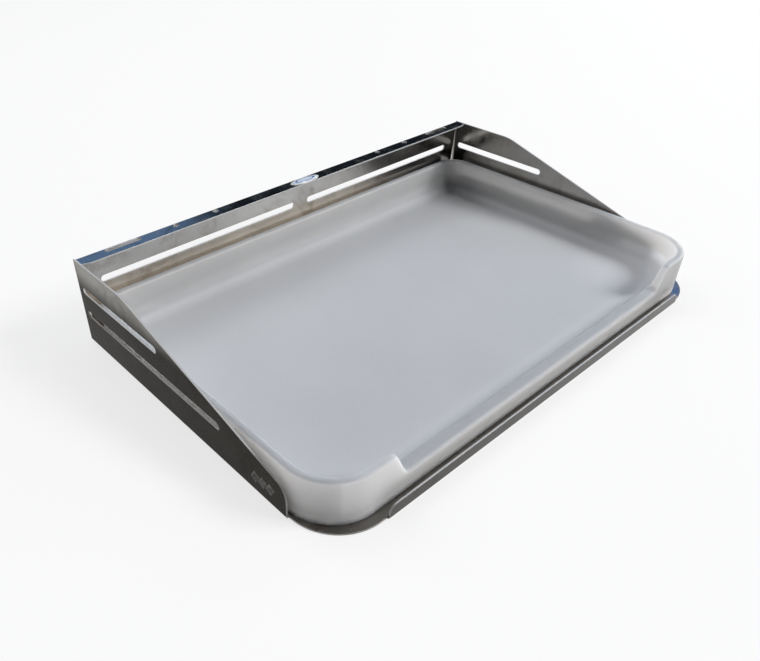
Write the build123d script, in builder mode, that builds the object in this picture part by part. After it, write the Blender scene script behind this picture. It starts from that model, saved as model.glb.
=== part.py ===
"""Bait cutting board: a folded stainless frame that holds a lift-out poly tray.

Millimetres. X runs left to right, Y from the front lip to the back panel, Z up.
The origin is the middle of the frame's underside.
"""

import os
from math import cos, radians, tan

from build123d import *

os.makedirs("parts", exist_ok=True)

# Frame, outside sizes
frame_width = 700.0
frame_depth = 450.0
frame_height = 116.0

# Sheet metal
sheet = 2.0
bend_inner_radius = 1.0
base_corner_radius = 62.0

# Front lip
lip_height = 17.0
lip_corner_radius = 10.0
lip_end_inset = 7.0

# Side cheeks
level_run = 106.5
side_front_height = 37.5
side_top_blend = 80.0
side_front_round = 20.0

# Long slots, all of one width
slot_width = 9.0
upper_slot_drop = 37.5
upper_side_slot_length = 163.0
side_slot_rear_inset = 10.0
lower_slot_height = 45.5
lower_side_slot_length = 273.0
back_slot_half_gap = 12.5
back_slot_end_inset = 26.0

# Small windows low at the front of each cheek
window_count = 3
window_width = 8.0
window_height = 12.0
window_pitch = 11.4
window_lean = 29.0
window_centre_height = 21.0
window_front_inset = 35.0

# Back panel: the gap to each cheek grows from top to bottom
rear_gap_top = 1.0
rear_gap_bottom = 6.0

# Tool shelf
shelf_depth = 20.5
shelf_cut_length = 10.0
shelf_cut_depth = 3.5
shelf_row_inset = 7.2
tool_slot_length = 48.5
tool_slot_width = 7.0
tool_slot_end_inset = 36.0
hook_hole_diameter = 8.0
hook_hole_inner = 151.5
hook_hole_spacing = 61.0

# Weld beads under the ends of the shelf
weld_leg = 3.0
weld_length = 12.0

# Mounting holes in the base
mount_spacing_x = 500.0
mount_spacing_y = 250.0
mount_hole_diameter = 8.5

# Tray
tray_height = 56.5
tray_side_clearance = 3.5
tray_front_clearance = 11.5
tray_rear_clearance = 1.0
tray_seat_clearance = 0.3
tray_front_corner = 60.0
tray_rear_corner = 37.0
tray_wall = 9.5
tray_outer_draft = 1.2
tray_inner_draft = 4.0
tray_floor = 10.0
tray_floor_fillet = 26.0
tray_rim_round = 3.8
tray_foot_round = 2.0
tray_front_height = 25.0
tray_step_inset = 103.5
tray_step_slope = 65.0
tray_step_round = 10.0
bolt_pocket_diameter = 26.0
bolt_pocket_depth = 6.0

# Oval badge
badge_length = 50.0
badge_width = 17.0
badge_foil = 0.4
badge_border = 2.4
badge_dome_height = 1.0
badge_dome_round = 0.8

# Places that follow from the sizes above
bend_outer_radius = bend_inner_radius + sheet
half_width = frame_width / 2
half_depth = frame_depth / 2
flat_half_width = half_width - bend_outer_radius
flat_half_depth = half_depth - bend_outer_radius
inner_half_width = half_width - sheet
side_front_y = base_corner_radius - flat_half_depth
upper_slot_z = frame_height - upper_slot_drop

# Help values: how far a cut runs each way, and how closely a level is matched
through = 4 * sheet
level_tolerance = 0.1

# Floor of the frame, flat between the bends
with BuildPart() as base_plate:
    with BuildSketch(Plane.XY) as base_outline:
        Rectangle(2 * flat_half_width, 2 * flat_half_depth)
        fillet(base_outline.vertices().group_by(Axis.Y)[0], base_corner_radius)
        with GridLocations(mount_spacing_x, mount_spacing_y, 2, 2):
            Circle(mount_hole_diameter / 2, mode=Mode.SUBTRACT)
    extrude(amount=sheet)
base_plate.part.label = "base_plate"
export_step(base_plate.part, "parts/base_plate.step")

# Lip folded up along the front edge, with its bend
lip_half_length = flat_half_width - base_corner_radius - lip_end_inset
with BuildPart() as front_lip:
    with BuildSketch(Plane.YZ.offset(-lip_half_length)) as lip_section:
        with BuildLine():
            Line((-flat_half_depth, sheet), (-flat_half_depth, 0))
            RadiusArc((-flat_half_depth, 0), (-half_depth, bend_outer_radius), bend_outer_radius)
            Line((-half_depth, bend_outer_radius), (-half_depth, lip_height))
            Line((-half_depth, lip_height), (sheet - half_depth, lip_height))
            Line((sheet - half_depth, lip_height), (sheet - half_depth, bend_outer_radius))
            RadiusArc(
                (sheet - half_depth, bend_outer_radius),
                (-flat_half_depth, sheet),
                -bend_inner_radius,
            )
        make_face()
    extrude(amount=2 * lip_half_length)
    lip_top = front_lip.faces().sort_by(Axis.Z)[-1]
    fillet(lip_top.edges().filter_by(Axis.Y), lip_corner_radius)
front_lip.part.label = "front_lip"
export_step(front_lip.part, "parts/front_lip.step")

# Side cheeks, each with its bend along the base
slope_top_y = half_depth - level_run
slot_rear_y = half_depth - side_slot_rear_inset
for side_name, side in (("left", -1), ("right", 1)):
    with BuildPart() as side_panel:
        with BuildSketch(Plane.XZ.offset(-half_depth)) as side_section:
            with BuildLine():
                Line((side * flat_half_width, sheet), (side * flat_half_width, 0))
                RadiusArc(
                    (side * flat_half_width, 0),
                    (side * half_width, bend_outer_radius),
                    -side * bend_outer_radius,
                )
                Line((side * half_width, bend_outer_radius), (side * half_width, frame_height))
                Line((side * half_width, frame_height), (side * inner_half_width, frame_height))
                Line(
                    (side * inner_half_width, frame_height),
                    (side * inner_half_width, bend_outer_radius),
                )
                RadiusArc(
                    (side * inner_half_width, bend_outer_radius),
                    (side * flat_half_width, sheet),
                    side * bend_inner_radius,
                )
            make_face()
        extrude(amount=half_depth - side_front_y)
        with BuildSketch(Plane.YZ) as side_outline:
            with BuildLine():
                FilletPolyline(
                    (half_depth, 0),
                    (half_depth, frame_height),
                    (slope_top_y, frame_height),
                    (side_front_y, side_front_height),
                    (side_front_y, 0),
                    radius=(0, side_top_blend, side_front_round),
                )
                Line((side_front_y, 0), (half_depth, 0))
            make_face()
        extrude(amount=frame_width, both=True, mode=Mode.INTERSECT)
        with BuildSketch(Plane.YZ.offset(side * half_width)) as side_cuts:
            with Locations((slot_rear_y - upper_side_slot_length / 2, upper_slot_z)):
                SlotOverall(upper_side_slot_length, slot_width)
            with Locations((slot_rear_y - lower_side_slot_length / 2, lower_slot_height)):
                SlotOverall(lower_side_slot_length, slot_width)
            for index in range(window_count):
                window_y = side_front_y + window_front_inset - (index - 1) * window_pitch
                with Locations((window_y, window_centre_height)):
                    Rectangle(window_width, window_height, rotation=window_lean)
        extrude(amount=through, both=True, mode=Mode.SUBTRACT)
    side_panel.part.label = side_name + "_side_panel"
    export_step(side_panel.part, "parts/" + side_name + "_side_panel.step")

# Back panel, with its bend along the base
back_top_z = frame_height - bend_outer_radius
back_slot_end = inner_half_width - back_slot_end_inset
back_slot_length = back_slot_end - back_slot_half_gap
with BuildPart() as back_panel:
    with BuildSketch(Plane.YZ.offset(-half_width)) as back_section:
        with BuildLine():
            Line((flat_half_depth, sheet), (flat_half_depth, 0))
            RadiusArc((flat_half_depth, 0), (half_depth, bend_outer_radius), -bend_outer_radius)
            Line((half_depth, bend_outer_radius), (half_depth, back_top_z))
            Line((half_depth, back_top_z), (half_depth - sheet, back_top_z))
            Line((half_depth - sheet, back_top_z), (half_depth - sheet, bend_outer_radius))
            RadiusArc(
                (half_depth - sheet, bend_outer_radius),
                (flat_half_depth, sheet),
                bend_inner_radius,
            )
        make_face()
    extrude(amount=frame_width)
    with BuildSketch(Plane.XZ.offset(-half_depth)) as back_outline:
        with BuildLine():
            Polyline(
                (rear_gap_bottom - inner_half_width, 0),
                (inner_half_width - rear_gap_bottom, 0),
                (inner_half_width - rear_gap_top, back_top_z),
                (rear_gap_top - inner_half_width, back_top_z),
                close=True,
            )
        make_face()
    extrude(amount=through, both=True, mode=Mode.INTERSECT)
    with BuildSketch(Plane.XZ.offset(-half_depth)) as back_cuts:
        slot_x = back_slot_half_gap + back_slot_length / 2
        with Locations((-slot_x, upper_slot_z), (slot_x, upper_slot_z)):
            SlotOverall(back_slot_length, slot_width)
    extrude(amount=through, both=True, mode=Mode.SUBTRACT)
back_panel.part.label = "back_panel"
export_step(back_panel.part, "parts/back_panel.step")

# Shelf folded forward from the top of the back panel, with its bend
shelf_front_y = half_depth - shelf_depth
shelf_row_y = half_depth - shelf_row_inset
with BuildPart() as tool_shelf:
    with BuildSketch(Plane.YZ.offset(-inner_half_width)) as shelf_section:
        with BuildLine():
            Line((half_depth, back_top_z), (half_depth - sheet, back_top_z))
            RadiusArc(
                (half_depth - sheet, back_top_z),
                (flat_half_depth, frame_height - sheet),
                -bend_inner_radius,
            )
            Line((flat_half_depth, frame_height - sheet), (shelf_front_y, frame_height - sheet))
            Line((shelf_front_y, frame_height - sheet), (shelf_front_y, frame_height))
            Line((shelf_front_y, frame_height), (flat_half_depth, frame_height))
            RadiusArc((flat_half_depth, frame_height), (half_depth, back_top_z), bend_outer_radius)
        make_face()
    extrude(amount=2 * inner_half_width)
    with BuildSketch(Plane.XY.offset(frame_height)) as shelf_cuts:
        tool_slot_x = inner_half_width - tool_slot_end_inset - tool_slot_length / 2
        hook_x = hook_hole_inner + hook_hole_spacing
        with Locations((-tool_slot_x, shelf_row_y), (tool_slot_x, shelf_row_y)):
            SlotOverall(tool_slot_length, tool_slot_width)
        for hole_x in (-hook_x, -hook_hole_inner, hook_hole_inner, hook_x):
            with Locations((hole_x, shelf_row_y)):
                Circle(hook_hole_diameter / 2)
        for side in (-1, 1):
            with Locations((side * inner_half_width, shelf_front_y)):
                Polygon(
                    (0, 0),
                    (-side * shelf_cut_length, 0),
                    (0, shelf_cut_depth),
                    align=None,
                )
    extrude(amount=-through, mode=Mode.SUBTRACT)
tool_shelf.part.label = "tool_shelf"
export_step(tool_shelf.part, "parts/tool_shelf.step")

# Fillet weld under each end of the shelf, in the corner with the cheek
weld_rear_y = flat_half_depth - bend_inner_radius
with BuildPart() as shelf_corner_welds:
    with BuildSketch(Plane.XZ.offset(-weld_rear_y)) as weld_section:
        for side in (-1, 1):
            with BuildLine():
                Line(
                    (side * inner_half_width, frame_height - sheet),
                    (side * (inner_half_width - weld_leg), frame_height - sheet),
                )
                RadiusArc(
                    (side * (inner_half_width - weld_leg), frame_height - sheet),
                    (side * inner_half_width, frame_height - sheet - weld_leg),
                    -side * weld_leg,
                )
                Line(
                    (side * inner_half_width, frame_height - sheet - weld_leg),
                    (side * inner_half_width, frame_height - sheet),
                )
            make_face()
    extrude(amount=weld_length)
shelf_corner_welds.part.label = "shelf_corner_welds"
export_step(shelf_corner_welds.part, "parts/shelf_corner_welds.step")

# Poly tray: drops in behind the lip, with its rear rim under the shelf
tray_bottom_z = sheet + tray_seat_clearance
tray_rim_z = tray_bottom_z + tray_height
tray_floor_z = tray_bottom_z + tray_floor
tray_half_width = inner_half_width - tray_side_clearance
tray_front_y = sheet + tray_front_clearance - half_depth
tray_rear_y = half_depth - sheet - tray_rear_clearance
tray_centre_y = (tray_front_y + tray_rear_y) / 2
tray_length = tray_rear_y - tray_front_y
mouth_inset = tray_wall + tray_height * tan(radians(tray_outer_draft))
low_rim_z = tray_bottom_z + tray_front_height
step_foot_x = tray_half_width - tray_step_inset
step_head_x = step_foot_x + (tray_rim_z - low_rim_z) / tan(radians(tray_step_slope))
cut_top_z = 2 * tray_rim_z
cut_rear_y = tray_front_y + 2 * tray_wall
steep_face = cos(radians(tray_step_slope)) / 2
with BuildPart() as cutting_tray:
    with BuildSketch(Plane.XY.offset(tray_bottom_z)) as tray_outline:
        with Locations((0, tray_centre_y)):
            Rectangle(2 * tray_half_width, tray_length)
        fillet(tray_outline.vertices().group_by(Axis.Y)[0], tray_front_corner)
        fillet(tray_outline.vertices().group_by(Axis.Y)[-1], tray_rear_corner)
    extrude(amount=tray_height, taper=tray_outer_draft)

    # Hollow, with a large rounding between the walls and the floor
    with BuildSketch(Plane.XY.offset(tray_rim_z)) as tray_mouth:
        with Locations((0, tray_centre_y)):
            Rectangle(2 * (tray_half_width - mouth_inset), tray_length - 2 * mouth_inset)
        fillet(tray_mouth.vertices().group_by(Axis.Y)[0], tray_front_corner - mouth_inset)
        fillet(tray_mouth.vertices().group_by(Axis.Y)[-1], tray_rear_corner - mouth_inset)
    extrude(amount=tray_floor - tray_height, taper=tray_inner_draft, mode=Mode.SUBTRACT)
    tray_floor_face = cutting_tray.faces().filter_by_position(
        Axis.Z, tray_floor_z - level_tolerance, tray_floor_z + level_tolerance
    )
    fillet(tray_floor_face.edges(), tray_floor_fillet)

    # Front wall cut down between two soft steps
    with BuildSketch(Plane.XZ.offset(-cut_rear_y)) as front_cut:
        with BuildLine():
            FilletPolyline(
                (-half_width, tray_rim_z),
                (-step_head_x, tray_rim_z),
                (-step_foot_x, low_rim_z),
                (step_foot_x, low_rim_z),
                (step_head_x, tray_rim_z),
                (half_width, tray_rim_z),
                radius=tray_step_round,
            )
            Polyline(
                (half_width, tray_rim_z),
                (half_width, cut_top_z),
                (-half_width, cut_top_z),
                (-half_width, tray_rim_z),
            )
        make_face()
    extrude(amount=3 * tray_wall, mode=Mode.SUBTRACT)

    # Both edges of the rim: the edges that only one of its upward faces has
    rim_faces = [
        face
        for face in cutting_tray.faces()
        if face.bounding_box().min.Z > low_rim_z - level_tolerance
        and face.normal_at().Z > steep_face
    ]
    face_edges = [edge for face in rim_faces for edge in face.edges()]
    rim_edges = [
        edge for edge in face_edges if sum(edge.is_same(other) for other in face_edges) == 1
    ]
    fillet(rim_edges, tray_rim_round)
    fillet(cutting_tray.faces().sort_by(Axis.Z)[0].edges(), tray_foot_round)

    # Room under the floor for the heads of the mounting bolts
    with BuildSketch(Plane.XY.offset(tray_bottom_z)) as bolt_pockets:
        with GridLocations(mount_spacing_x, mount_spacing_y, 2, 2):
            Circle(bolt_pocket_diameter / 2)
    extrude(amount=bolt_pocket_depth, mode=Mode.SUBTRACT)
cutting_tray.part.label = "cutting_tray"
export_step(cutting_tray.part, "parts/cutting_tray.step")

# Bare oval badge in the middle of the shelf
badge_y = (shelf_front_y + flat_half_depth) / 2
with BuildPart() as badge_backing:
    with BuildSketch(Plane.XY.offset(frame_height)):
        with Locations((0, badge_y)):
            Ellipse(badge_length / 2, badge_width / 2)
    extrude(amount=badge_foil)
badge_backing.part.label = "badge_backing"
export_step(badge_backing.part, "parts/badge_backing.step")

with BuildPart() as badge_dome:
    with BuildSketch(Plane.XY.offset(frame_height + badge_foil)):
        with Locations((0, badge_y)):
            Ellipse(badge_length / 2 - badge_border, badge_width / 2 - badge_border)
    extrude(amount=badge_dome_height)
    fillet(badge_dome.edges().group_by(Axis.Z)[-1], badge_dome_round)
badge_dome.part.label = "badge_dome"
export_step(badge_dome.part, "parts/badge_dome.step")
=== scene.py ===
"""Studio scene of a bait cutting board: a folded stainless frame that holds a milky poly tray.

Metres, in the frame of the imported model: X left to right, Y front to rear, Z up.
Colours are linear. A pair of numbers such as CLOUDS says where an effect starts and is full.
"""

from math import cos, pi, radians, sin, sqrt

import bmesh
import bpy
from mathutils import Matrix, Vector


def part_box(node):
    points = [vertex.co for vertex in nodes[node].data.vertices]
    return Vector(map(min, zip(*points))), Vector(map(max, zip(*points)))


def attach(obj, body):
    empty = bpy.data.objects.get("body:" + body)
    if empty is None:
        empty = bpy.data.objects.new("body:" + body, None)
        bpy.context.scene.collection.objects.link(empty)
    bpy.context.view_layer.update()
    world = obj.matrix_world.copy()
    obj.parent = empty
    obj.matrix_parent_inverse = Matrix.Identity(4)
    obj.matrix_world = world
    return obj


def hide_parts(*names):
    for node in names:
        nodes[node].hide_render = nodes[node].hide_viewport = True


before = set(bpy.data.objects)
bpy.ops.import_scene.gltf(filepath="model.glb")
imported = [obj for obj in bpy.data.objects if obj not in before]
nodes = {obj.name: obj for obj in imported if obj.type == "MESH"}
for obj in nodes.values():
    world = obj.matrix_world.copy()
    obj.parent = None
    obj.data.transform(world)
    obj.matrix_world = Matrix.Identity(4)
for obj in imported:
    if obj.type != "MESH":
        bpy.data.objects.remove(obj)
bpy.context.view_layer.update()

# Camera, as solved from the straight edges of the frame
IMAGE_WIDTH = 760
IMAGE_HEIGHT = 661
FOCAL_PIXELS = 699.55
AXIS_PIXEL = (304.34, 361.14)
SENSOR_WIDTH = 36.0
CAMERA_PLACE = (-0.61575, -0.49717, 0.52242)
CAMERA_YAW = radians(40.71)
CAMERA_PITCH = radians(37.89)
CAMERA_ROLL = radians(-0.62)

# Paper that the object stands on
PAPER_SIZE = 14.0
PAPER_DROP = 0.0002
PAPER_COLOUR = (0.94, 0.94, 0.94)
PAPER_ROUGHNESS = 0.9
PAPER_SHINE = 0.1
PAPER_WHITENESS = 0.72

# Spread of the noise that the cloudy colours use
CLOUDS = (0.3, 0.7)

# Steel
WHITE = (1, 1, 1)
STAIN_STRENGTH = 0.6
STAIN_COLOUR = (0.27, 0.245, 0.21)
STAINS = (0.5, 0.7)
MARK_STRENGTH = 0.12
MARK_COLOUR = (0.7, 0.7, 0.7)
MARK_ROUGHNESS = 0.1
MARK_SOFTNESS = 0.04
# Painted highlight on the sheets' rounded edges
PAINTED_EDGE_HIGHLIGHT = (0.995, 0.8)
PAINTED_EDGE_HIGHLIGHT_COLOUR = (0.62, 0.62, 0.62)
EDGE_RADIUS = 0.0006
EDGE_SAMPLES = 12
CUT_COLOUR = (0.5, 0.5, 0.5)
CUT_DULLNESS = 0.8
MATT_EDGE_ROUGHNESS = 0.3
SMUDGES = (0.3, 0.72)
SMOOTHER = 0.05
ROUGHER = 0.09

# Zones of the frame, several of them for painted shade and painted light
OUTER_FACES = (0.12, 0.2)
CUT_FACING = (0.6, 0.4)
ABOVE_BENDS = (0.005, 0.0065)
BEFORE_SHELF_BEND = (0.2195, 0.2185)
PAINTED_LOW_SHADE_ZONE = (0.088, 0.068)
PAINTED_FOOT_LIGHT_ZONE = (0.071, 0.061)
PAINTED_HIGH_LIGHT_ZONE = (0.076, 0.11)
PAINTED_RIGHT_END_SHADE_ZONE = (0.0, 0.29)
TRAY_HALF_WIDTH = (0.333, 0.31)
TRAY_FRONT = (-0.195, -0.175)

# Colours of the poly tray, some of them painted shade and painted light
POLY_WALL = ((0.55, 0.545, 0.54), (0.59, 0.585, 0.58))
POLY_FLOOR = ((0.49, 0.505, 0.53), (0.57, 0.585, 0.61))
POLY_OUTSIDE_PAINTED_SHADE = (0.53, 0.525, 0.52)
POLY_RIGHT_PAINTED_SHADE = (0.4, 0.4, 0.4)
POLY_CREST_PAINTED_SHADE = (0.36, 0.375, 0.395)
POLY_LEFT_CREST_PAINTED_SHADE = (0.28, 0.295, 0.315)
POLY_PAINTED_LIGHT = (0.82, 0.84, 0.88)
POLY_FOOT_PAINTED_LIGHT = (0.87, 0.845, 0.81)
POLY_SPECK = (0.34, 0.34, 0.34)
KNIFE_MARK_COLOUR = (0.66, 0.67, 0.69)

# Strengths on the poly tray
PAINTED_SHADE_SHARE = 0.65
FILLET_PAINTED_LIGHT = 0.75
PAINTED_LIGHT_STRENGTH = 0.6
FOOT_PAINTED_LIGHT_STRENGTH = 0.7
SPECK_STRENGTH = 0.35
KNIFE_MARK_STRENGTH = 0.2
OUTSIDE_ROUGHNESS = 0.85
INSIDE_ROUGHNESS = (0.52, 0.66)
FLOOR_CLARITY = 0.06
DENSE_STRENGTH = 0.7
POLY_IOR = 1.5
POLY_RADIUS = (1.0, 0.95, 0.9)
POLY_DEPTH = 0.06

# Zones of the poly tray
FLAT_FACING = (0.3, 0.95)
FLOOR_PAINTED_SHADE_ZONE = (-0.18, 0.1)
ABOVE_FLOOR = (0.016, 0.022)
LEFT_CREST_SHADE_ZONE = (-0.29, -0.325)
RIGHT_PAINTED_SHADE_ZONE = (0.18, 0.3)
FRONT_FILLET = (-0.165, -0.195)
RIGHT_QUARTER = (0.2, 0.3)
FRONT_QUARTER = (-0.04, -0.15)
LOW_INSIDE = (0.038, 0.03)
POLY_FOOT_PAINTED_LIGHT_ZONE = (0.018, 0.005)
SPECKS = (0.09, 0.05)
MOTTLE = (0.3, 0.75)
SIDE_WALLS = (0.318, 0.334)
FRONT_WALL = (-0.188, -0.201)
WALL_HEIGHT = (0.013, 0.032)

# Oval badge, as in the model. Its line is a zone of squared distance, 1 at the badge's edge.
BADGE_LENGTH = 0.05
BADGE_WIDTH = 0.017
BADGE_CENTRE_Y = 0.21325
BADGE_DUST = (0.4, 0.75)
BADGE_ROUGHNESS = (0.1, 0.24)
BADGE_COAT = 0.6
BADGE_COAT_ROUGHNESS = 0.04
BADGE_LINE_INSIDE = (0.3, 0.34)
BADGE_LINE_OUTSIDE = (0.48, 0.44)
BADGE_LINE_COLOUR = (0.03, 0.1, 0.36)
BADGE_FIELD = ((0.7, 0.79, 0.9), (0.64, 0.75, 0.88))
BADGE_FOIL = ((0.84, 0.84, 0.84), (0.78, 0.78, 0.78))

# Weld beads in the corners between shelf and cheeks, as in the model
WELD_LEG = 0.003
WELD_LENGTH = 0.012
WELD_RIPPLE = 0.0012
WELD_RINGS = 61
WELD_ARC_POINTS = 11
WELD_VALLEY = 0.84
WELD_CREST = 0.15
WELD_LAG = 0.25
WELD_END = 0.25
WELD_END_RISE = 2

# Room round the object, brightest low at the rear
ROOM_DARK = (0.04, 0.04, 0.04)
ROOM_GLOW = (1.4, 1.4, 1.4)
GLOW_HEADING = (0, 15)
GLOW = (0.3, 0.9)
MIRRORED_HORIZON = (0.24, 0.15)

# Zones that the steel mirrors: azimuth and elevation, angles where each starts and is full
NAVY_ZONE = ((28, 26), 20, 14)
DARK_ZONE = ((46, 20), 21, 15)
REAR_BLUE_ZONE = ((19, 28), 14, 8)
SIDE_BLUE_ZONE = ((73, 28), 14, 10)
NAVY = (0.04, 0.105, 0.19)
DARK = (0.011, 0.015, 0.021)
REAR_BLUE = (0.13, 0.22, 0.38)
SIDE_BLUE = (0.31, 0.7, 1.6)


class Graph:
    """Adds nodes to a node tree and links them by the names of their sockets."""

    def __init__(self, tree):
        self.tree = tree

    def add(self, kind, settings=None, inputs=None):
        node = self.tree.nodes.new(kind)
        for name, value in (settings or {}).items():
            setattr(node, name, value)
        for name, value in (inputs or {}).items():
            self.set(node.inputs[name], value)
        return node

    def set(self, socket, value):
        """Links a socket or gives it a constant. Colours have three values."""
        if isinstance(value, bpy.types.NodeSocket):
            self.tree.links.new(value, socket)
        elif socket.type == "RGBA":
            socket.default_value = (*value, 1)
        else:
            socket.default_value = value

    def place(self):
        """Places on the piece, in metres."""
        return self.add("ShaderNodeTexCoord").outputs["Object"]

    def facing(self):
        """Directions of the piece's faces, along the piece's own axes."""
        return self.add("ShaderNodeTexCoord").outputs["Normal"]

    def stretched(self, place, scale, turn=(0, 0, 0)):
        inputs = {"Vector": place, "Scale": scale, "Rotation": turn}
        return self.add("ShaderNodeMapping", {"vector_type": "TEXTURE"}, inputs).outputs["Vector"]

    def noise(self, place, scale, detail=3.0, roughness=0.5, distortion=0.0):
        inputs = {
            "Vector": place,
            "Scale": scale,
            "Detail": detail,
            "Roughness": roughness,
            "Distortion": distortion,
        }
        return self.add("ShaderNodeTexNoise", None, inputs).outputs["Fac"]

    def cells(self, place, scale):
        """Distance to the nearest of many scattered points, in cells."""
        inputs = {"Vector": place, "Scale": scale}
        return self.add("ShaderNodeTexVoronoi", None, inputs).outputs["Distance"]

    def remap(self, value, low, high, new_low=0.0, new_high=1.0):
        inputs = {
            "Value": value,
            "From Min": low,
            "From Max": high,
            "To Min": new_low,
            "To Max": new_high,
        }
        settings = {"interpolation_type": "SMOOTHSTEP"}
        return self.add("ShaderNodeMapRange", settings, inputs).outputs["Result"]

    def along(self, place, axis, zone):
        """0 to 1 along an axis, from where a zone starts to where it is full."""
        return self.remap(self.part(place, axis), *zone)

    def calculate(self, operation, first, second=0.0):
        node = self.add("ShaderNodeMath", {"operation": operation})
        self.set(node.inputs[0], first)
        self.set(node.inputs[1], second)
        return node.outputs["Value"]

    def times(self, first, second):
        return self.calculate("MULTIPLY", first, second)

    def plus(self, first, second):
        return self.calculate("ADD", first, second)

    def minus(self, first, second):
        return self.calculate("SUBTRACT", first, second)

    def most(self, first, second):
        return self.calculate("MAXIMUM", first, second)

    def size(self, value):
        return self.calculate("ABSOLUTE", value)

    def dot(self, first, second):
        node = self.add("ShaderNodeVectorMath", {"operation": "DOT_PRODUCT"})
        self.set(node.inputs[0], first)
        self.set(node.inputs[1], second)
        return node.outputs["Value"]

    def part(self, vector, axis):
        return self.add("ShaderNodeSeparateXYZ", None, {"Vector": vector}).outputs[axis]

    def blend(self, factor, first, second, kind="MIX"):
        """Colour that goes from first to second as factor goes from 0 to 1."""
        node = self.add("ShaderNodeMix", {"data_type": "RGBA", "blend_type": kind})
        self.set(node.inputs[0], factor)
        self.set(node.inputs[6], first)
        self.set(node.inputs[7], second)
        return node.outputs[2]

    def bump(self, height, distance, strength=1.0, normal=None):
        inputs = {"Height": height, "Distance": distance, "Strength": strength}
        if normal is not None:
            inputs["Normal"] = normal
        return self.add("ShaderNodeBump", None, inputs).outputs["Normal"]


def grey(value):
    return (value, value, value)


def new_material(name):
    """A material with one main shader: the material, its graph and the shader."""
    material = bpy.data.materials.new(name)
    material.use_nodes = True
    material.node_tree.nodes.clear()
    graph = Graph(material.node_tree)
    shader = graph.add("ShaderNodeBsdfPrincipled")
    graph.add("ShaderNodeOutputMaterial", None, {"Surface": shader.outputs["BSDF"]})
    return material, graph, shader


def scratches(graph, place, turn, length, width, share):
    """Sparse fine lines along one direction, 0 off a line and 1 on it."""
    stretched = graph.stretched(place, (length, width, width), turn)
    lines = graph.noise(stretched, scale=1.0, detail=2.0)
    return graph.remap(lines, 1 - share, 1 - share + MARK_SOFTNESS)


def outward(graph, place):
    """1 on the faces that look away from the middle of the frame, 0 on its inner faces."""
    facing = graph.facing()
    sideways = graph.times(graph.part(place, "X"), graph.part(facing, "X"))
    lengthwise = graph.times(graph.part(place, "Y"), graph.part(facing, "Y"))
    return graph.remap(graph.most(sideways, lengthwise), *OUTER_FACES)


def cut_faces(graph, place, axis):
    """1 on the cut edges of a sheet that faces along an axis, and round its openings.

    0 on its bends: the one at the base, and on the shelf the one at its rear.
    """
    across = graph.size(graph.part(graph.facing(), axis))
    cut = graph.times(graph.remap(across, *CUT_FACING), graph.along(place, "Z", ABOVE_BENDS))
    return graph.times(cut, graph.along(place, "Y", BEFORE_SHELF_BEND)) if axis == "Z" else cut


def painted_right_end_shade(graph, place):
    """1 at the right end of the back panel, where it gets painted shade for the dark right cheek
    that it mirrors.
    """
    return graph.along(place, "X", PAINTED_RIGHT_END_SHADE_ZONE)


def under_tray(graph, place):
    """1 where the tray covers the base plate: the base's painted shade is left out there."""
    aside = graph.size(graph.part(place, "X"))
    return graph.times(graph.remap(aside, *TRAY_HALF_WIDTH), graph.along(place, "Y", TRAY_FRONT))


def stained_steel(graph, place, tint, cloud_tint):
    """Cloudy colour of the steel, with brown stains."""
    clouds = graph.noise(place, scale=9.0, detail=4.0, roughness=0.55, distortion=0.6)
    stains = graph.noise(place, scale=17.0, detail=5.0, roughness=0.62, distortion=1.6)
    cloudy = graph.blend(graph.remap(clouds, *CLOUDS), cloud_tint, tint)
    stained = graph.times(graph.remap(stains, *STAINS), STAIN_STRENGTH)
    return graph.blend(stained, cloudy, STAIN_COLOUR)


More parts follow.
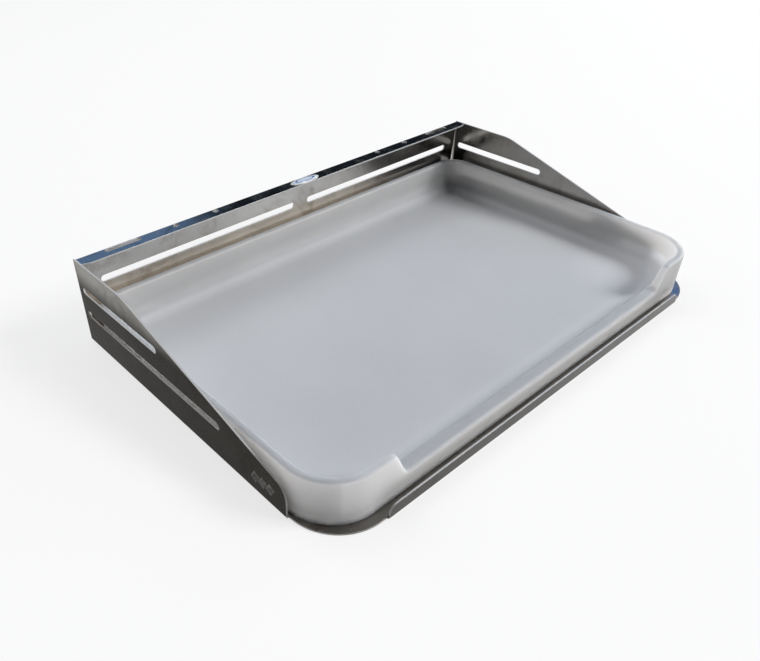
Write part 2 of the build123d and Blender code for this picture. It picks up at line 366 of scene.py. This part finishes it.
def steel_material(
    name,
    axis,
    tint,
    cloud_tint,
    painted_outer_shade,
    roughness,
    painted_outer_high_light=None,
    painted_low_shade=WHITE,
    painted_foot_light=None,
    zone=None,
    painted_zone_shade=1.0,
    grazing=1.0,
):
    """Bright rolled sheet that faces along an axis: stained, wavy, scratched, matt where it is cut.

    The stained colour is multiplied by painted shade on its outer faces, lighter higher up, and on
    its inner faces by painted shade lower down, painted light at the foot and painted shade in one
    zone.
    """
    material, graph, shader = new_material(name)
    place = graph.place()
    smudges = graph.noise(place, scale=46.0, detail=5.0, roughness=0.62, distortion=0.3)
    waves = graph.noise(place, scale=5.0, detail=1.0)
    marks = graph.most(
        scratches(graph, place, turn=(0.3, 0.2, 0.5), length=0.09, width=0.0006, share=0.33),
        scratches(graph, place, turn=(0.2, -0.9, 1.9), length=0.06, width=0.0005, share=0.32),
    )
    bevel = graph.add("ShaderNodeBevel", {"samples": EDGE_SAMPLES}, {"Radius": EDGE_RADIUS})
    rounded = bevel.outputs["Normal"]
    true_normal = graph.add("ShaderNodeNewGeometry").outputs["True Normal"]
    # The rounded edges get a painted highlight and a rougher finish.
    edge = graph.remap(graph.dot(rounded, true_normal), *PAINTED_EDGE_HIGHLIGHT)
    cut = cut_faces(graph, place, axis)

    # Inside: painted shade lower down, painted light at the foot, and a painted shade of its own in
    # one zone.
    inner = graph.blend(graph.along(place, "Z", PAINTED_LOW_SHADE_ZONE), WHITE, painted_low_shade)
    if painted_foot_light:
        inner = graph.blend(graph.along(place, "Z", PAINTED_FOOT_LIGHT_ZONE), inner, painted_foot_light)
    if zone:
        inner = graph.blend(zone(graph, place), inner, grey(painted_zone_shade))
    # Outside: painted shade, lighter higher up.
    outer = graph.blend(graph.along(place, "Z", PAINTED_HIGH_LIGHT_ZONE), painted_outer_shade, painted_outer_high_light or painted_outer_shade)
    shade = graph.blend(outward(graph, place), inner, outer)
    stained = stained_steel(graph, place, tint, cloud_tint)
    shaded = graph.blend(1.0, stained, shade, "MULTIPLY")
    marked = graph.blend(graph.times(marks, MARK_STRENGTH), shaded, MARK_COLOUR)
    edge_highlighted = graph.blend(edge, marked, PAINTED_EDGE_HIGHLIGHT_COLOUR)
    graph.set(shader.inputs["Base Color"], graph.blend(cut, edge_highlighted, CUT_COLOUR))
    graph.set(shader.inputs["Metallic"], graph.minus(1.0, graph.times(cut, CUT_DULLNESS)))
    graph.set(shader.inputs["Specular Tint"], grey(grazing))

    uneven = graph.remap(smudges, *SMUDGES, roughness - SMOOTHER, roughness + ROUGHER)
    matt = graph.times(graph.most(edge, cut), MATT_EDGE_ROUGHNESS)
    rougher = graph.plus(graph.times(marks, MARK_ROUGHNESS), matt)
    graph.set(shader.inputs["Roughness"], graph.plus(uneven, rougher))
    wavy = graph.bump(waves, distance=0.0016, strength=0.35, normal=rounded)
    fine = graph.bump(graph.minus(smudges, marks), distance=0.00002, strength=0.4, normal=wavy)
    graph.set(shader.inputs["Normal"], fine)
    return material


def poly_colour(graph, place, clouds, flat, outside):
    """Colour of clean poly: cooler and lighter inside, lightest where painted light is added."""
    cloudy = graph.remap(clouds, *CLOUDS)
    wall = graph.blend(cloudy, *POLY_WALL)
    # Painted shade along the floor, darker towards the front, mixed with its clouds.
    lengthwise = graph.times(graph.along(place, "Y", FLOOR_PAINTED_SHADE_ZONE), PAINTED_SHADE_SHARE)
    tone = graph.plus(lengthwise, graph.times(cloudy, 1 - PAINTED_SHADE_SHARE))
    floor = graph.blend(tone, *POLY_FLOOR)
    # Painted shade on the outer faces, darker still towards the right.
    right = graph.along(place, "X", RIGHT_PAINTED_SHADE_ZONE)
    shell = graph.blend(outside, wall, graph.blend(right, POLY_OUTSIDE_PAINTED_SHADE, POLY_RIGHT_PAINTED_SHADE))
    rim = graph.times(flat, graph.along(place, "Z", ABOVE_FLOOR))
    # Painted shade on the rim's flat top, darker towards the left.
    crest = graph.blend(graph.along(place, "X", LEFT_CREST_SHADE_ZONE), POLY_CREST_PAINTED_SHADE, POLY_LEFT_CREST_PAINTED_SHADE)
    plain = graph.blend(rim, graph.blend(flat, shell, floor), crest)

    # Painted light where the floor meets the front wall and in the front right corner.
    front_fillet = graph.minus(graph.minus(graph.along(place, "Y", FRONT_FILLET), outside), rim)
    quarter = graph.times(
        graph.along(place, "X", RIGHT_QUARTER),
        graph.along(place, "Y", FRONT_QUARTER),
    )
    corner = graph.times(graph.minus(quarter, outside), graph.along(place, "Z", LOW_INSIDE))
    painted_light_mask = graph.most(graph.times(front_fillet, FILLET_PAINTED_LIGHT), corner)
    with_painted_light = graph.blend(graph.times(painted_light_mask, PAINTED_LIGHT_STRENGTH), plain, POLY_PAINTED_LIGHT)
    # Painted light on the lower outer wall.
    foot = graph.times(graph.along(place, "Z", POLY_FOOT_PAINTED_LIGHT_ZONE), outside)
    return graph.blend(graph.times(foot, FOOT_PAINTED_LIGHT_STRENGTH), with_painted_light, POLY_FOOT_PAINTED_LIGHT)


def poly_clarity(graph, place, outside):
    """Weight of the light that goes through: little in the floor, full in the walls."""
    side_walls = graph.remap(graph.size(graph.part(place, "X")), *SIDE_WALLS)
    walls = graph.most(side_walls, graph.along(place, "Y", FRONT_WALL))
    milky = graph.most(graph.along(place, "Z", WALL_HEIGHT), walls)
    # The right outer faces let less light through, which darkens them along with their painted
    # shade.
    right = graph.along(place, "X", RIGHT_PAINTED_SHADE_ZONE)
    dense = graph.times(graph.times(right, outside), DENSE_STRENGTH)
    return graph.minus(graph.remap(milky, 0.0, 1.0, FLOOR_CLARITY, 1.0), dense)


def poly_material():
    """Milky poly: matt, a little see-through, finely knife-marked on its flat faces."""
    material, graph, shader = new_material("milky_poly")
    place = graph.place()
    clouds = graph.noise(place, scale=6.0, detail=3.0, roughness=0.5)
    mottle = graph.noise(place, scale=60.0, detail=4.0, roughness=0.6)
    grain = graph.noise(place, scale=900.0, detail=3.0, roughness=0.6)
    marks = graph.most(
        scratches(graph, place, turn=(0, 0, 0.9), length=0.05, width=0.0007, share=0.33),
        scratches(graph, place, turn=(0, 0, 2.3), length=0.04, width=0.0006, share=0.32),
    )
    specks = graph.remap(graph.cells(place, scale=130.0), *SPECKS)
    normal = graph.add("ShaderNodeNewGeometry").outputs["Normal"]
    flat = graph.remap(graph.size(graph.part(normal, "Z")), *FLAT_FACING)
    cuts = graph.times(marks, flat)
    outside = outward(graph, place)

    clean = poly_colour(graph, place, clouds, flat, outside)
    speckled = graph.blend(graph.times(specks, SPECK_STRENGTH), clean, POLY_SPECK)
    scratched = graph.blend(graph.times(cuts, KNIFE_MARK_STRENGTH), speckled, KNIFE_MARK_COLOUR)
    graph.set(shader.inputs["Base Color"], scratched)
    mottled = graph.remap(mottle, *MOTTLE, *INSIDE_ROUGHNESS)
    roughness = graph.most(graph.times(outside, OUTSIDE_ROUGHNESS), mottled)
    graph.set(shader.inputs["Roughness"], roughness)
    graph.set(shader.inputs["IOR"], POLY_IOR)
    graph.set(shader.inputs["Subsurface Weight"], poly_clarity(graph, place, outside))
    graph.set(shader.inputs["Subsurface Radius"], POLY_RADIUS)
    graph.set(shader.inputs["Subsurface Scale"], POLY_DEPTH)
    soft = graph.bump(mottle, distance=0.0001, strength=0.2)
    grained = graph.minus(graph.times(grain, flat), cuts)
    fine = graph.bump(grained, distance=0.00005, strength=0.35, normal=soft)
    graph.set(shader.inputs["Normal"], fine)
    return material


def gloss_material(name, colours, over=None):
    """Smooth glossy print under a clear coat, with faint cloudiness and dust.

    over draws something on the print: it gets the graph, the places and the colour below.
    """
    material, graph, shader = new_material(name)
    place = graph.place()
    clouds = graph.noise(place, scale=90.0, detail=3.0)
    dust = graph.noise(place, scale=1500.0, detail=3.0, roughness=0.7)
    field = graph.blend(graph.remap(clouds, *CLOUDS), *colours)
    graph.set(shader.inputs["Base Color"], over(graph, place, field) if over else field)
    graph.set(shader.inputs["Roughness"], graph.remap(dust, *BADGE_DUST, *BADGE_ROUGHNESS))
    graph.set(shader.inputs["Coat Weight"], BADGE_COAT)
    graph.set(shader.inputs["Coat Roughness"], BADGE_COAT_ROUGHNESS)
    graph.set(shader.inputs["Normal"], graph.bump(dust, distance=0.00001, strength=0.3))
    return material


def badge_line(graph, place, field):
    """Thin blue oval on the badge's field."""
    across = graph.calculate("DIVIDE", graph.part(place, "X"), BADGE_LENGTH / 2)
    offset = graph.minus(graph.part(place, "Y"), BADGE_CENTRE_Y)
    along = graph.calculate("DIVIDE", offset, BADGE_WIDTH / 2)
    squares = graph.plus(graph.times(across, across), graph.times(along, along))
    line = graph.times(
        graph.remap(squares, *BADGE_LINE_INSIDE),
        graph.remap(squares, *BADGE_LINE_OUTSIDE),
    )
    return graph.blend(line, field, BADGE_LINE_COLOUR)


def weld_rings(shape, side, low, high):
    """Rings of points along one bead, each round the inner corner between shelf and cheek."""
    corner_x = high[0] if side > 0 else low[0]
    rings = []
    for step in range(WELD_RINGS):
        share = step / (WELD_RINGS - 1)
        length = share * WELD_LENGTH
        ripple = abs(sin(pi * length / WELD_RIPPLE))
        from_end = min(share, 1 - share) * WELD_LENGTH / WELD_LEG
        tapered = sqrt(min(1.0, WELD_END + WELD_END_RISE * from_end))
        reach = WELD_LEG * (WELD_VALLEY + WELD_CREST * ripple) * tapered
        ring = [shape.verts.new((corner_x, low[1] + length, high[2]))]
        for index in range(WELD_ARC_POINTS):
            turn = pi / 2 * index / (WELD_ARC_POINTS - 1)
            lag = WELD_LAG * WELD_RIPPLE * sin(2 * turn) * min(1.0, from_end)
            point = (
                corner_x - side * reach * cos(turn),
                low[1] + length + lag,
                high[2] - reach * sin(turn),
            )
            ring.append(shape.verts.new(point))
        rings.append(ring)
    return rings


def make_welds(material):
    """Rippled beads in place of the model's plain ones, both in one piece."""
    low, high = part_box("shelf_corner_welds")
    shape = bmesh.new()
    for side in (-1, 1):
        rings = weld_rings(shape, side, low, high)
        for first, second in zip(rings, rings[1:]):
            for index in range(len(first)):
                after = (index + 1) % len(first)
                shape.faces.new((first[index], first[after], second[after], second[index]))
        shape.faces.new(rings[0])
        shape.faces.new(rings[-1])
    bmesh.ops.recalc_face_normals(shape, faces=shape.faces)
    for face in shape.faces:
        face.smooth = len(face.verts) == 4
    mesh = bpy.data.meshes.new("weld_beads")
    shape.to_mesh(mesh)
    shape.free()
    mesh.materials.append(material)
    welds = bpy.data.objects.new("weld_beads", mesh)
    bpy.context.scene.collection.objects.link(welds)
    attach(welds, "frame")
    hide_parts("shelf_corner_welds")


def paint(node, material):
    mesh = nodes[node].data
    mesh.materials.clear()
    mesh.materials.append(material)


# Painted reflection low on its inner face: warmer and darker where the tray's edge is mirrored,
# lighter at the foot. Painted shade at its right end.
back_steel = steel_material(
    "back_steel",
    axis="Y",
    tint=(0.59, 0.575, 0.545),
    cloud_tint=(0.46, 0.445, 0.42),
    painted_outer_shade=(0.34, 0.33, 0.31),
    roughness=0.17,
    painted_low_shade=(0.88, 0.81, 0.72),
    painted_foot_light=(1.1, 1.01, 0.9),
    zone=painted_right_end_shade,
    painted_zone_shade=0.3,
)
# Its outer face gets a darker painted shade.
lip_steel = steel_material(
    "lip_steel",
    axis="Y",
    tint=(0.6, 0.585, 0.555),
    cloud_tint=(0.5, 0.485, 0.46),
    painted_outer_shade=(0.098, 0.095, 0.088),
    roughness=0.17,
)
shelf_steel = steel_material(
    "shelf_steel",
    axis="Z",
    tint=(0.6, 0.6, 0.6),
    cloud_tint=(0.55, 0.55, 0.55),
    painted_outer_shade=(0.34, 0.33, 0.31),
    roughness=0.1,
)
# Its outer face gets the darkest painted shade, with painted light higher up.
left_steel = steel_material(
    "left_steel",
    axis="X",
    tint=(0.55, 0.535, 0.51),
    cloud_tint=(0.36, 0.345, 0.32),
    painted_outer_shade=(0.062, 0.058, 0.05),
    roughness=0.2,
    painted_outer_high_light=(0.7, 0.7, 0.69),
    grazing=0.62,
)
# The base is darker than the other sheets, and darker still beyond the tray: painted shade for the
# tray's shaded foot that it mirrors.
base_steel_painted_shade = steel_material(
    "base_steel_painted_shade",
    axis="Z",
    tint=(0.44, 0.425, 0.4),
    cloud_tint=(0.37, 0.355, 0.33),
    painted_outer_shade=(0.6, 0.6, 0.6),
    roughness=0.3,
    painted_low_shade=(0.45, 0.445, 0.44),
    zone=under_tray,
)
# A darker copy of the steel: painted shade for the darker things that the right cheek mirrors.
right_steel_painted_shade = steel_material(
    "right_steel_painted_shade",
    axis="X",
    tint=(0.4, 0.385, 0.36),
    cloud_tint=(0.28, 0.265, 0.24),
    painted_outer_shade=(0.6, 0.59, 0.57),
    roughness=0.18,
)
# A lighter copy of the steel: a painted highlight for the glint on the beads.
weld_steel_painted_highlight = steel_material(
    "weld_steel_painted_highlight",
    axis="Y",
    tint=(0.74, 0.72, 0.68),
    cloud_tint=(0.6, 0.57, 0.52),
    painted_outer_shade=WHITE,
    roughness=0.22,
)
paint("front_lip", lip_steel)
paint("back_panel", back_steel)
paint("tool_shelf", shelf_steel)
paint("base_plate", base_steel_painted_shade)
paint("left_side_panel", left_steel)
paint("right_side_panel", right_steel_painted_shade)
paint("cutting_tray", poly_material())
paint("badge_backing", gloss_material("badge_foil", BADGE_FOIL))
paint("badge_dome", gloss_material("badge_gel", BADGE_FIELD, badge_line))
make_welds(weld_steel_painted_highlight)


def make_camera():
    right = Vector((cos(CAMERA_YAW), -sin(CAMERA_YAW), 0))
    ahead = Vector(
        (
            sin(CAMERA_YAW) * cos(CAMERA_PITCH),
            cos(CAMERA_YAW) * cos(CAMERA_PITCH),
            -sin(CAMERA_PITCH),
        )
    )
    up = right.cross(ahead)
    rolled_right = cos(CAMERA_ROLL) * right + sin(CAMERA_ROLL) * up
    rolled_up = cos(CAMERA_ROLL) * up - sin(CAMERA_ROLL) * right
    data = bpy.data.cameras.new("camera")
    data.sensor_width = SENSOR_WIDTH
    data.lens = SENSOR_WIDTH * FOCAL_PIXELS / IMAGE_WIDTH
    data.shift_x = (IMAGE_WIDTH / 2 - AXIS_PIXEL[0]) / IMAGE_WIDTH
    data.shift_y = (AXIS_PIXEL[1] - IMAGE_HEIGHT / 2) / IMAGE_WIDTH
    data.clip_start = 0.01
    camera = bpy.data.objects.new("camera", data)
    turn = Matrix((rolled_right, rolled_up, -ahead)).transposed().to_4x4()
    camera.matrix_world = Matrix.Translation(CAMERA_PLACE) @ turn
    bpy.context.scene.collection.objects.link(camera)
    bpy.context.scene.camera = camera


def make_floor():
    """Paper that keeps the object's shadow.

    The camera and mirrors see it partly as plain white. It lights the object as paper does.
    """
    mesh = bpy.data.meshes.new("floor")
    shape = bmesh.new()
    bmesh.ops.create_grid(shape, x_segments=1, y_segments=1, size=PAPER_SIZE / 2)
    shape.to_mesh(mesh)
    shape.free()
    floor = bpy.data.objects.new("floor", mesh)
    floor.location.z = -PAPER_DROP
    material, graph, shader = new_material("floor_paper")
    graph.set(shader.inputs["Base Color"], PAPER_COLOUR)
    graph.set(shader.inputs["Roughness"], PAPER_ROUGHNESS)
    graph.set(shader.inputs["Specular IOR Level"], PAPER_SHINE)
    rays = graph.add("ShaderNodeLightPath").outputs
    mirrored = graph.most(rays["Is Glossy Ray"], rays["Is Transmission Ray"])
    seen = graph.most(rays["Is Camera Ray"], mirrored)
    white = graph.add("ShaderNodeEmission", None, {"Strength": 1.0})
    mixed = graph.add("ShaderNodeMixShader", None, {"Fac": graph.times(seen, PAPER_WHITENESS)})
    graph.set(mixed.inputs[1], shader.outputs["BSDF"])
    graph.set(mixed.inputs[2], white.outputs["Emission"])
    output = material.node_tree.get_output_node("ALL")
    graph.set(output.inputs["Surface"], mixed.outputs["Shader"])
    mesh.materials.append(material)
    bpy.context.scene.collection.objects.link(floor)


def make_softbox(name, place, size, power):
    """A square light of a size in metres and a power in watts, aimed at the origin."""
    data = bpy.data.lights.new(name, "AREA")
    data.shape = "RECTANGLE"
    data.size = size
    data.size_y = size
    data.energy = power
    light = bpy.data.objects.new(name, data)
    light.location = place
    light.rotation_euler = (-Vector(place)).to_track_quat("-Z", "Y").to_euler()
    bpy.context.scene.collection.objects.link(light)


def heading(azimuth, elevation):
    """Direction at an azimuth from +Y towards +X and an elevation, both in degrees."""
    turn, rise = radians(azimuth), radians(elevation)
    return (sin(turn) * cos(rise), cos(turn) * cos(rise), sin(rise))


def round_zone(graph, direction, middle, outer_angle, inner_angle):
    """1 within the inner angle of a heading, 0 outside the outer angle, both in degrees."""
    closeness = graph.dot(direction, heading(*middle))
    return graph.remap(closeness, cos(radians(outer_angle)), cos(radians(inner_angle)))


def make_world():
    """A studio room with one dark and three blue zones for the steel to mirror.

    The camera sees it white, and so does the steel close to the horizon.
    """
    world = bpy.data.worlds.new("studio")
    world.use_nodes = True
    world.node_tree.nodes.clear()
    graph = Graph(world.node_tree)
    direction = graph.add("ShaderNodeTexCoord").outputs["Generated"]
    glow = graph.remap(graph.dot(direction, heading(*GLOW_HEADING)), *GLOW)
    room = graph.blend(glow, ROOM_DARK, ROOM_GLOW)
    with_navy = graph.blend(round_zone(graph, direction, *NAVY_ZONE), room, NAVY)
    darkened = graph.blend(round_zone(graph, direction, *DARK_ZONE), with_navy, DARK)
    rear_blue = round_zone(graph, direction, *REAR_BLUE_ZONE)
    side_blue = round_zone(graph, direction, *SIDE_BLUE_ZONE)
    hue = graph.blend(side_blue, REAR_BLUE, SIDE_BLUE)
    coloured = graph.blend(graph.most(rear_blue, side_blue), darkened, hue)
    rays = graph.add("ShaderNodeLightPath").outputs
    low = graph.along(direction, "Z", MIRRORED_HORIZON)
    horizon = graph.times(rays["Is Glossy Ray"], low)
    direct = graph.most(rays["Is Camera Ray"], rays["Is Transmission Ray"])
    seen = graph.blend(graph.most(direct, horizon), coloured, WHITE)
    background = graph.add("ShaderNodeBackground", None, {"Color": seen, "Strength": 1.0})
    graph.add("ShaderNodeOutputWorld", None, {"Surface": background.outputs["Background"]})
    bpy.context.scene.world = world


make_camera()
make_floor()
make_softbox("key", place=(6.0, -6.5, 6.5), size=3.9, power=1030)
make_softbox("side", place=(5.2, -0.3, 2.2), size=1.8, power=48)
make_softbox("rear", place=(0, 2.2, 3.0), size=1.5, power=14)
make_world()
bpy.context.scene.view_settings.view_transform = "Standard"
